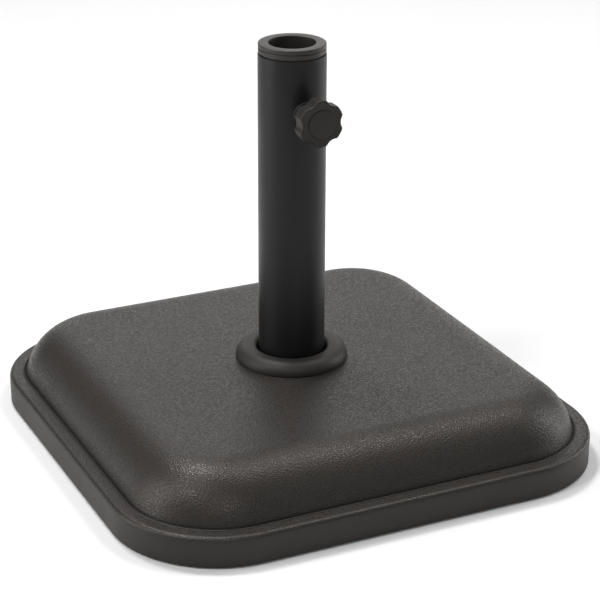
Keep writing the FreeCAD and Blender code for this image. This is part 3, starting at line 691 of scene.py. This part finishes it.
def make_cover_screws():
    """Pan-head self-tapping screws with a cross recess."""
    low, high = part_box("cover_screws")
    head_radius = high.x - (HALF_SIDE - COVER_SCREW_INSET)
    head = softened(
        [
            (0.0, low.z, 0),
            (head_radius * 0.72, low.z, 0.8 * MM),
            (head_radius, low.z + 1.2 * MM, 0.5 * MM),
            (head_radius, cover_low.z, 0.1 * MM),
            (0.0, cover_low.z, 0),
        ],
        4,
    )
    head_vertices, head_faces = turned_mesh(head, 48)
    shank = threaded_rod(1.95 * MM, 1.6 * MM, 0.45 * MM, cover_low.z, high.z, 24, 8)
    screws = []
    for place in cover_screw_places():
        screws.append((moved(head_vertices, place), head_faces))
        screws.append((moved(shank[0], place), shank[1]))
    piece = add_piece("cover_screws_cross_head", *joined(*screws), ZINC, "cover_screws")
    arm, half_width, depth = 2.1 * MM, 0.5 * MM, 1.2 * MM
    cuts = []
    for place in cover_screw_places():
        for along, across in ((arm, half_width), (half_width, arm)):
            bottom, top = low.z - 1 * MM, low.z + depth
            corners = [
                Vector((sx * along, sy * across, level)) + Vector(place)
                for level in (bottom, top)
                for sx, sy in ((-1, -1), (1, -1), (1, 1), (-1, 1))
            ]
            sides = [(i, (i + 1) % 4, 4 + (i + 1) % 4, 4 + i) for i in range(4)]
            cuts.append((corners, [(0, 1, 2, 3), (4, 5, 6, 7), *sides]))
    for direction in (0, 1):
        cut_away(piece, *joined(*cuts[direction::2]))


def make_bolt_stack():
    """The bolt from below with its washers, and the nut and plate in the tube's foot."""
    low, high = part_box("fixing_bolt")
    spring_low, spring_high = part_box("spring_washer")
    washer_low, washer_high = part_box("fixing_washer")
    plate_low, plate_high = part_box("tube_foot_plate")
    nut_low, nut_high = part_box("tube_foot_nut")
    flats = high.y - low.y
    head = hex_block(flats, low.z, spring_low.z, 0, True, False)
    centre = len(head[0])
    segments = 96
    last_row = 3 * segments
    face = [(step, (step + 1) % segments, centre) for step in range(segments)]
    back = [(last_row + step, last_row + (step + 1) % segments, centre + 1) for step in range(segments)]
    head_vertices = head[0] + [Vector((0, 0, low.z)), Vector((0, 0, spring_low.z))]
    solid_faces = [f for f in head[1] if max(f) < 4 * segments]
    shank = threaded_rod(6.0 * MM, 1.75 * MM, 0.9 * MM, spring_low.z, high.z)
    bolt = joined((head_vertices, solid_faces + face + back), shank)
    add_piece("fixing_bolt_m12", *bolt, ZINC, "fixing_bolt", crease=28)

    washer = softened(
        [
            (6.75 * MM, washer_low.z, 0.2 * MM),
            (washer_high.x, washer_low.z, 0.5 * MM),
            (washer_high.x, washer_high.z, 0.2 * MM),
            (6.75 * MM, washer_high.z, 0.2 * MM),
        ]
    )
    add_piece("fixing_washer_disc", *turned_mesh(washer, 128), ZINC, "fixing_washer")

    gap = 0.8 * MM / spring_high.x
    rows = 90
    thick = (spring_high.z - spring_low.z) * 0.82
    climb = (spring_high.z - spring_low.z) - thick
    vertices = []
    for row in range(rows + 1):
        share = row / rows
        angle = gap + (TURN - 2 * gap) * share
        level = spring_low.z + climb * share
        for reach, height in (
            (6.9 * MM, 0.2 * MM),
            (7.1 * MM, 0),
            (spring_high.x - 0.2 * MM, 0),
            (spring_high.x, 0.2 * MM),
            (spring_high.x, thick - 0.2 * MM),
            (spring_high.x - 0.2 * MM, thick),
            (7.1 * MM, thick),
            (6.9 * MM, thick - 0.2 * MM),
        ):
            vertices.append(Vector((reach * math.cos(angle), reach * math.sin(angle), level + height)))
    faces = grid_faces(rows + 1, 8, wrap_rows=False)
    faces += [tuple(range(8)), tuple(rows * 8 + index for index in range(8))]
    add_piece("spring_washer_coil", vertices, faces, ZINC, "spring_washer", crease=30)

    nut = hex_block(nut_high.y - nut_low.y, nut_low.z, nut_high.z, 6.05 * MM, False, True)
    add_piece("tube_foot_nut_m12", *nut, ZINC, "tube_foot_nut", crease=28)
    plate = softened(
        [
            (6.75 * MM, plate_low.z, 0.3 * MM),
            (plate_high.x, plate_low.z, 0.3 * MM),
            (plate_high.x, plate_high.z, 0.3 * MM),
            (6.75 * MM, plate_high.z, 0.3 * MM),
        ]
    )
    add_piece("tube_foot_plate_disc", *turned_mesh(plate, 128), COAT, "tube_foot_plate")


def make_cover_ribs():
    """Low moulded ribs under the cover: a ring round the recess and a grid of straight ones."""
    depth = 1.6 * MM
    half = 0.9 * MM
    under = cover_low.z - depth
    parts = []
    for radius in (30 * MM, 100 * MM):
        outline = softened(
            [
                (radius - half, under, 0.4 * MM),
                (radius + half, under, 0.4 * MM),
                (radius + half, cover_low.z, 0),
                (radius - half, cover_low.z, 0),
            ],
            3,
        )
        parts.append(turned_mesh(outline, 128))
    section = [
        (-half, cover_low.z),
        (-half, under + 0.4 * MM),
        (-half + 0.3 * MM, under),
        (half - 0.3 * MM, under),
        (half, under + 0.4 * MM),
        (half, cover_low.z),
    ]
    for spoke in range(12):
        angle = TURN * (spoke + 0.5) / 12
        turn = Matrix.Rotation(angle, 3, "Z")
        start, end = 30 * MM + half, 100 * MM - half
        vertices = [
            turn @ Vector((reach, across, level))
            for reach in (start, end)
            for across, level in section
        ]
        faces = [tuple(range(6)), tuple(range(6, 12))]
        faces += [(i, (i + 1) % 6, 6 + (i + 1) % 6, 6 + i) for i in range(6)]
        parts.append((vertices, faces))
    add_piece("bottom_cover_ribs", *joined(*parts), COVER, "bottom_cover", also=None)


# ---------------------------------------------------------------- tube, collar and reducers


def make_tube():
    """Rolled steel tube with a faint weld seam inside its back wall and eased ends."""
    ease = 0.35 * MM
    outline = softened(
        [
            (TUBE_BORE, tube_low.z, ease),
            (TUBE_RADIUS, tube_low.z, ease),
            (TUBE_RADIUS, tube_high.z, ease),
            (TUBE_BORE, tube_high.z, ease),
        ]
    )

    def seam(radius, level, angle):
        from_back = (angle - TURN / 4) / 0.03
        bead = 0.35 * MM * math.exp(-from_back * from_back)
        return radius - bead if radius < TUBE_BORE + 0.1 * MM else radius

    tube = add_piece("pole_tube_steel", *turned_mesh(outline, 256, seam), COAT, "pole_tube")
    hole = turned_mesh(
        [(0, 10 * MM), (6.5 * MM, 10 * MM), (6.5 * MM, 40 * MM), (0, 40 * MM)], 64
    )
    cut_away(tube, along_screw(hole[0]), hole[1])


def make_collar():
    """Loose trim ring: round over its crest, with a fine parting line round its foot."""
    bore = TUBE_RADIUS + 1.3 * MM
    reach = collar_high.x
    wall = 2.2 * MM
    foot, top = collar_low.z, collar_high.z
    outer_round, inner_round = 9.6 * MM, 4.4 * MM
    outside = arc_points((reach - outer_round, top - outer_round), outer_round, 0, math.pi / 2, 18)
    inside = arc_points((bore + inner_round, top - inner_round), inner_round, math.pi / 2, math.pi, 12)
    hollow_inside = arc_points(
        (bore + inner_round, top - inner_round), inner_round - wall, math.pi, math.pi / 2, 6
    )
    hollow_outside = arc_points(
        (reach - outer_round, top - outer_round), outer_round - wall, math.pi / 2, 0, 10
    )
    outline = [(reach - 0.3 * MM, foot), (reach - 0.08 * MM, foot + 0.1 * MM), (reach, foot + 0.35 * MM)]
    outline += outside + inside
    outline += [(bore, foot + 0.3 * MM), (bore + 0.3 * MM, foot), (bore + wall, foot)]
    outline += hollow_inside + hollow_outside + [(reach - wall, foot)]
    add_piece("collar_ring_moulding", *turned_mesh(outline, 256), COLLAR, "collar_ring")


def make_reducers():
    """Two flanged rings. The inner one stands in the outer one on eight ribs."""
    flange = outer_high.x
    shoulder = TUBE_RADIUS - 1.2 * MM
    skirt = TUBE_BORE - 0.3 * MM
    wide_bore = 24.15 * MM
    seat = tube_high.z + 0.3 * MM
    flange_foot = seat + 1.2 * MM
    outer = softened(
        [
            (wide_bore, outer_low.z, 0.4 * MM),
            (skirt, outer_low.z, 0.6 * MM),
            (skirt, seat, 0.1 * MM),
            (shoulder, seat, 0.2 * MM),
            (shoulder, flange_foot, 0.2 * MM),
            (flange, flange_foot, 0.4 * MM),
            (flange, outer_high.z, 0.6 * MM),
            (wide_bore, outer_high.z, 0.5 * MM),
        ]
    )
    add_piece("outer_reducer_ring", *turned_mesh(outer, 256), REDUCER, "outer_reducer")

    bore = 19.25 * MM
    sleeve = bore + 2.2 * MM
    foot = outer_high.z + 0.3 * MM
    inner = softened(
        [
            (bore, inner_low.z, 0.4 * MM),
            (sleeve, inner_low.z, 0.4 * MM),
            (sleeve, foot, 0.3 * MM),
            (flange, foot, 0.4 * MM),
            (flange, inner_high.z, 0.7 * MM),
            (bore, inner_high.z, 0.8 * MM),
        ]
    )
    parts = [turned_mesh(inner, 256)]
    half, tip = 1.0 * MM, wide_bore - 0.3 * MM
    lead = 3 * MM
    for rib in range(8):
        turn = Matrix.Rotation(TURN * rib / 8, 3, "Z")
        rows = []
        for level, reach in ((inner_low.z, tip - 1.2 * MM), (inner_low.z + lead, tip), (foot, tip)):
            root = sleeve - 0.5 * MM
            ease = 0.3 * MM
            rows.append(
                [
                    (root, -half, level),
                    (reach - ease, -half, level),
                    (reach, -half + ease, level),
                    (reach, half - ease, level),
                    (reach - ease, half, level),
                    (root, half, level),
                ]
            )
        vertices = [turn @ Vector(point) for row in rows for point in row]
        faces = grid_faces(3, 6, wrap_rows=False)
        faces += [tuple(range(6)), tuple(range(12, 18))]
        parts.append((vertices, faces))
    add_piece("inner_reducer_ring", *joined(*parts), REDUCER, "inner_reducer")


# ---------------------------------------------------------------- knob


def saddle(x):
    """How far the tube's wall stands from its axis plane at this distance to the side."""
    return math.sqrt(TUBE_RADIUS**2 - x**2)


def make_boss():
    """Round boss shaped to the tube's wall, with a rippled weld bead round it."""
    radius = (boss_high.x - boss_low.x) / 2
    bore = SCREW_BORE
    face = -boss_low.y
    ease = 0.8 * MM
    segments = 128
    vertices = []
    for step in range(segments):
        angle = TURN * step / segments
        c, s = math.cos(angle), math.sin(angle)
        section = [
            (bore, saddle(bore * c)),
            (radius, saddle(radius * c)),
            (radius, face - ease),
            (radius - 0.24 * ease, face - 0.24 * ease),
            (radius - ease, face),
            (bore + 0.6 * MM, face),
            (bore, face - 0.6 * MM),
        ]
        vertices += [Vector((reach * c, reach * s, depth)) for reach, depth in section]
    faces = grid_faces(segments, 7)
    add_piece("knob_boss_turned", along_screw(vertices), faces, COAT, "knob_boss")

    bead = 1.5 * MM
    around = 12
    rings = 180
    weld = []
    for step in range(rings):
        angle = TURN * step / rings
        c, s = math.cos(angle), math.sin(angle)
        ripple = bead * (1 + 0.10 * math.sin(42 * angle) + 0.06 * math.sin(11 * angle + 1.0))
        for turn in range(around):
            tilt = TURN * turn / around
            reach = radius - 0.3 * MM + ripple * math.cos(tilt)
            height = saddle(radius * c) - 0.3 * MM + ripple * math.sin(tilt)
            weld.append(Vector((reach * c, reach * s, height)))
    add_piece("knob_boss_weld", along_screw(weld), grid_faces(rings, around), COAT, "knob_boss", also=None)


def smooth_least(first, second, blend):
    """The smaller of two lengths, with a soft change-over."""
    share = max(0.0, min(1.0, 0.5 + 0.5 * (second - first) / blend))
    return second * (1 - share) + first * share - blend * share * (1 - share)


def lobe_radius(angle, radius):
    """The knob's outline: a circle with six round notches, the first at angle 0."""
    notch_radius = 8.2 * MM
    notch_centre = radius - 2.4 * MM + notch_radius
    from_notch = (angle + TURN / 12) % (TURN / 6) - TURN / 12
    across = notch_centre * math.sin(abs(from_notch))
    if across >= notch_radius:
        return radius
    in_notch = notch_centre * math.cos(from_notch) - math.sqrt(notch_radius**2 - across**2)
    return smooth_least(radius, in_notch, 1.6 * MM)


def make_knob():
    """Six-lobed knob: rounded rim, shallow face with a step to the cap, cored-out back."""
    radius = (knob_high.z - knob_low.z) / 2
    back, front = -knob_high.y, -knob_low.y
    rim = 1.4 * MM
    seat = 11.6 * MM
    head_pocket = 7.6 * MM
    head_back = -screw_low.y - SCREW_HEAD_HEIGHT
    seat_depth = 1.5 * MM
    hollow = back + 3.0 * MM
    section = [
        ("hub", SCREW_BORE, back),
        ("hub", 9.0 * MM, back),
        ("hub", 9.3 * MM, back + 0.3 * MM),
        ("hub", 9.3 * MM, hollow),
        ("hub", 13.0 * MM, hollow),
        ("hub", 13.0 * MM, back + 0.3 * MM),
        ("hub", 13.3 * MM, back),
    ]
    section += [("rim", rim + share, back) for share in (0.8 * MM, 0.4 * MM)]
    section += [("rim", rim - x, back + rim - y) for x, y in arc_points((0, 0), rim, math.pi / 2, 0, 6)]
    section += [("rim", 0.0, back + (front - back) * share) for share in (0.3, 0.5, 0.7)]
    section += [("rim", rim - x, front - rim + y) for x, y in arc_points((0, 0), rim, 0, math.pi / 2, 6)]
    section += [("rim", rim + 0.4 * MM, front - 0.05 * MM)]
    section += [("hub", 13.6 * MM, front - 0.25 * MM), ("hub", 12.5 * MM, front - 0.3 * MM)]
    section += [("hub", seat + 0.15 * MM, front - 0.35 * MM), ("hub", seat + 0.05 * MM, front - 0.6 * MM)]
    section += [("hub", seat + 0.05 * MM, front - seat_depth), ("hub", head_pocket, front - seat_depth)]
    section += [("hub", head_pocket, head_back), ("hub", SCREW_BORE, head_back)]
    segments = 288
    vertices = []
    for kind, value, depth in section:
        for step in range(segments):
            angle = TURN * step / segments
            reach = lobe_radius(angle, radius) - value if kind == "rim" else value
            vertices.append(Vector((reach * math.cos(angle), reach * math.sin(angle), depth)))
    faces = grid_faces(len(section), segments)
    add_piece("knob_head_moulding", along_screw(vertices), faces, KNOB, "knob_head", crease=42)

    cap_back, cap_face = -cap_high.y, -cap_low.y
    cap_radius = (cap_high.z - cap_low.z) / 2
    cap = [(0.0, cap_back), (cap_radius, cap_back)]
    cap += arc_points((cap_radius - 0.5 * MM, cap_face - 0.62 * MM), 0.5 * MM, 0, math.pi / 2, 5)
    cap += [
        (reach, cap_face - 0.12 * MM * (reach / cap_radius) ** 2)
        for reach in (9.0 * MM, 7.0 * MM, 5.0 * MM, 3.0 * MM, 1.0 * MM, 0.0)
    ]
    vertices, faces = turned_mesh(cap, 160)
    add_piece("knob_cap_disc", along_screw(vertices), faces, KNOB, "knob_cap")


def make_knob_screw():
    """M8 screw with a real thread, its hexagonal head in the knob and its dog in the pad."""
    pad_back, pad_front = -pad_low.y, -pad_high.y
    front = -screw_low.y
    head_back = front - SCREW_HEAD_HEIGHT
    end = pad_back + 0.3 * MM
    dog_end = -screw_high.y
    thread = threaded_rod(SCREW_RADIUS, SCREW_PITCH, 0.65 * MM, end, head_back, 64, 12)
    dog = turned_mesh(
        softened([(0, dog_end, 0), (2.5 * MM, dog_end, 0.3 * MM), (2.5 * MM, end, 0), (0, end, 0)], 3), 48
    )
    flats = 13.0 * MM
    head = hex_block(flats, head_back, front, 3.5 * MM, True, True)
    vertices, faces = joined(thread, dog, head)
    add_piece("knob_screw_m8", along_screw(vertices), faces, ZINC, "knob_screw", crease=30)

    pad = softened(
        [
            (0, pad_front, 0),
            (6.0 * MM, pad_front, 0.5 * MM),
            (6.0 * MM, pad_back, 0.3 * MM),
            (2.55 * MM, pad_back, 0.1 * MM),
            (2.55 * MM, pad_back - 1.4 * MM, 0.1 * MM),
            (0, pad_back - 1.4 * MM, 0),
        ],
        4,
    )
    vertices, faces = turned_mesh(pad, 96)
    add_piece("knob_tip_pad_disc", along_screw(vertices), faces, NYLON, "knob_tip_pad")


make_shell()
make_feet()
make_cover_screws()
make_bolt_stack()
make_cover_ribs()
make_tube()
make_collar()
make_reducers()
make_boss()
make_knob()
make_knob_screw()

for node, material in (("concrete_fill", CONCRETE), ("bottom_cover", COVER), ("tube_socket", COVER)):
    shown = frame["nodes"][node]
    shown.data.materials.clear()
    shown.data.materials.append(material)


# ---------------------------------------------------------------- floor, light and camera


def make_floor():
    size = 14.0
    bpy.ops.mesh.primitive_plane_add(size=size, location=(0, 0, 0))
    floor = bpy.context.object
    floor.name = "floor"
    floor.data.materials.append(floor_finish())


def add_softbox(name, place, aim, width, height, power, colour=(1, 1, 1)):
    light = bpy.data.lights.new(name, "AREA")
    light.shape = "RECTANGLE"
    light.size, light.size_y = width, height
    light.energy = power
    light.color = colour
    lamp = bpy.data.objects.new(name, light)
    bpy.context.scene.collection.objects.link(lamp)
    lamp.location = place
    lamp.rotation_mode = "QUATERNION"
    lamp.rotation_quaternion = (Vector(aim) - Vector(place)).to_track_quat("-Z", "Y")


def make_light():
    world = bpy.data.worlds.new("studio")
    world.use_nodes = True
    world.node_tree.nodes["Background"].inputs["Color"].default_value = (1, 1, 1, 1)
    world.node_tree.nodes["Background"].inputs["Strength"].default_value = 0.16
    bpy.context.scene.world = world
    aim = (0, 0, 0.08)
    add_softbox("overhead_softbox", (-0.26, 0.83, 2.35), aim, 0.5, 0.5, 28)
    add_softbox("high_left_softbox", (-1.5, -0.4, 2.0), aim, 0.4, 0.4, 15)
    add_softbox("high_right_softbox", (1.0, 0.2, 2.3), aim, 0.9, 0.5, 14)
    add_softbox("front_softbox", (-0.5, -2.0, 1.5), aim, 1.2, 0.8, 9)
    add_softbox("back_softbox", (1.05, 2.25, 1.05), aim, 2.6, 1.5, 13)
    add_softbox("left_softbox", (-2.3, 0.6, 0.9), aim, 1.2, 1.8, 25)
    add_softbox("right_softbox", (2.4, -0.2, 0.9), aim, 1.2, 1.8, 20)


def make_camera():
    yaw, pitch, roll = math.radians(25.48), math.radians(22.977), math.radians(0.243)
    distance = 1.7030
    target = Vector((6.44, -3.07, 115.49)) * MM
    forward = Vector(
        (math.sin(yaw) * math.cos(pitch), math.cos(yaw) * math.cos(pitch), -math.sin(pitch))
    )
    right = Vector((math.cos(yaw), -math.sin(yaw), 0))
    up = right.cross(forward)
    data = bpy.data.cameras.new("camera")
    data.sensor_width = 36
    data.lens = 120.73
    camera = bpy.data.objects.new("camera", data)
    bpy.context.scene.collection.objects.link(camera)
    turn = Matrix((right, up, -forward)).transposed()
    camera.rotation_mode = "QUATERNION"
    camera.rotation_quaternion = (turn @ Matrix.Rotation(roll, 3, "Z")).to_quaternion()
    camera.location = target - forward * distance
    bpy.context.scene.camera = camera


make_floor()
make_light()
make_camera()
bpy.context.scene.view_settings.view_transform = "Standard"
